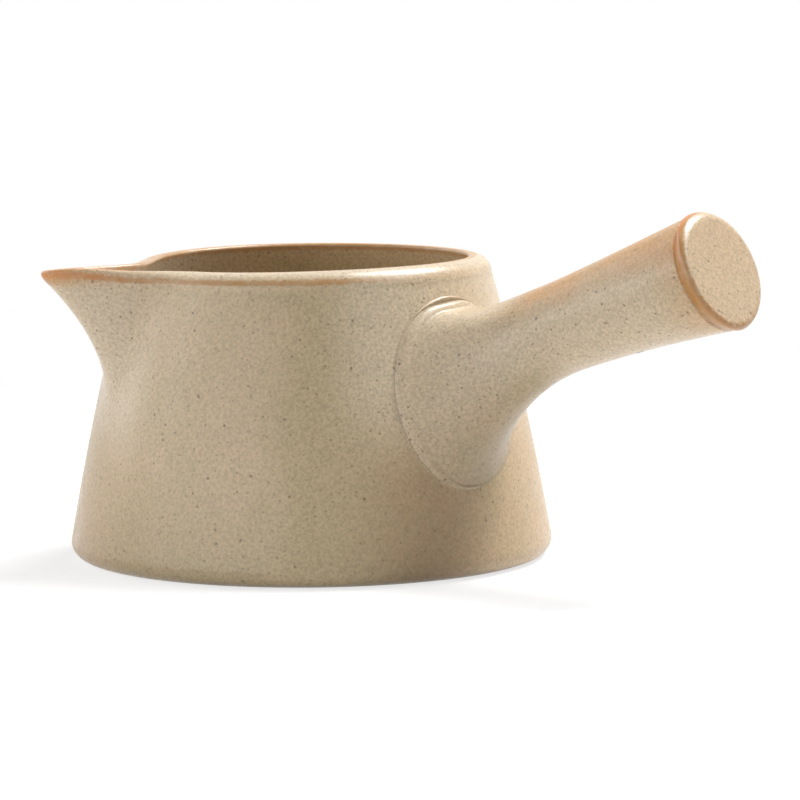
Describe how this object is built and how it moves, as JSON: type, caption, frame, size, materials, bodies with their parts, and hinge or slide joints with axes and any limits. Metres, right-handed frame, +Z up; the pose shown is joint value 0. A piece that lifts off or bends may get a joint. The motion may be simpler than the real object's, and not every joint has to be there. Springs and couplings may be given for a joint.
{
  "type": "tea pitcher",
  "caption": "Stoneware tea pitcher: conical vessel, wide at the foot, with a pulled pouring spout and a hollow trumpet-shaped side handle closed at its end.",
  "frame": {"origin": "centre of the flat base, on the vessel's axis, where it stands on the table", "axes": "+Z up along the vessel's axis; the spout points along -X; the handle leaves at 123 degrees from the spout, counter-clockwise seen from above"},
  "size_m": [0.1179, 0.1304, 0.0704],
  "materials": {
    "glaze": "satin speckled stoneware glaze, beige with fine iron specks",
    "brown_glaze": "satin glaze broken to iron brown over an edge",
    "bare_clay": "bare fired stoneware, matt and slightly gritty"
  },
  "bodies": {
    "root": {"vessel_wall": "glaze", "floor_disc": "bare_clay", "floor_coil": "glaze", "handle_stem": "glaze", "handle_root_slip": "glaze", "handle_end_cap": "glaze", "end_cap_slip": "brown_glaze"}
  },
  "joints": []
}
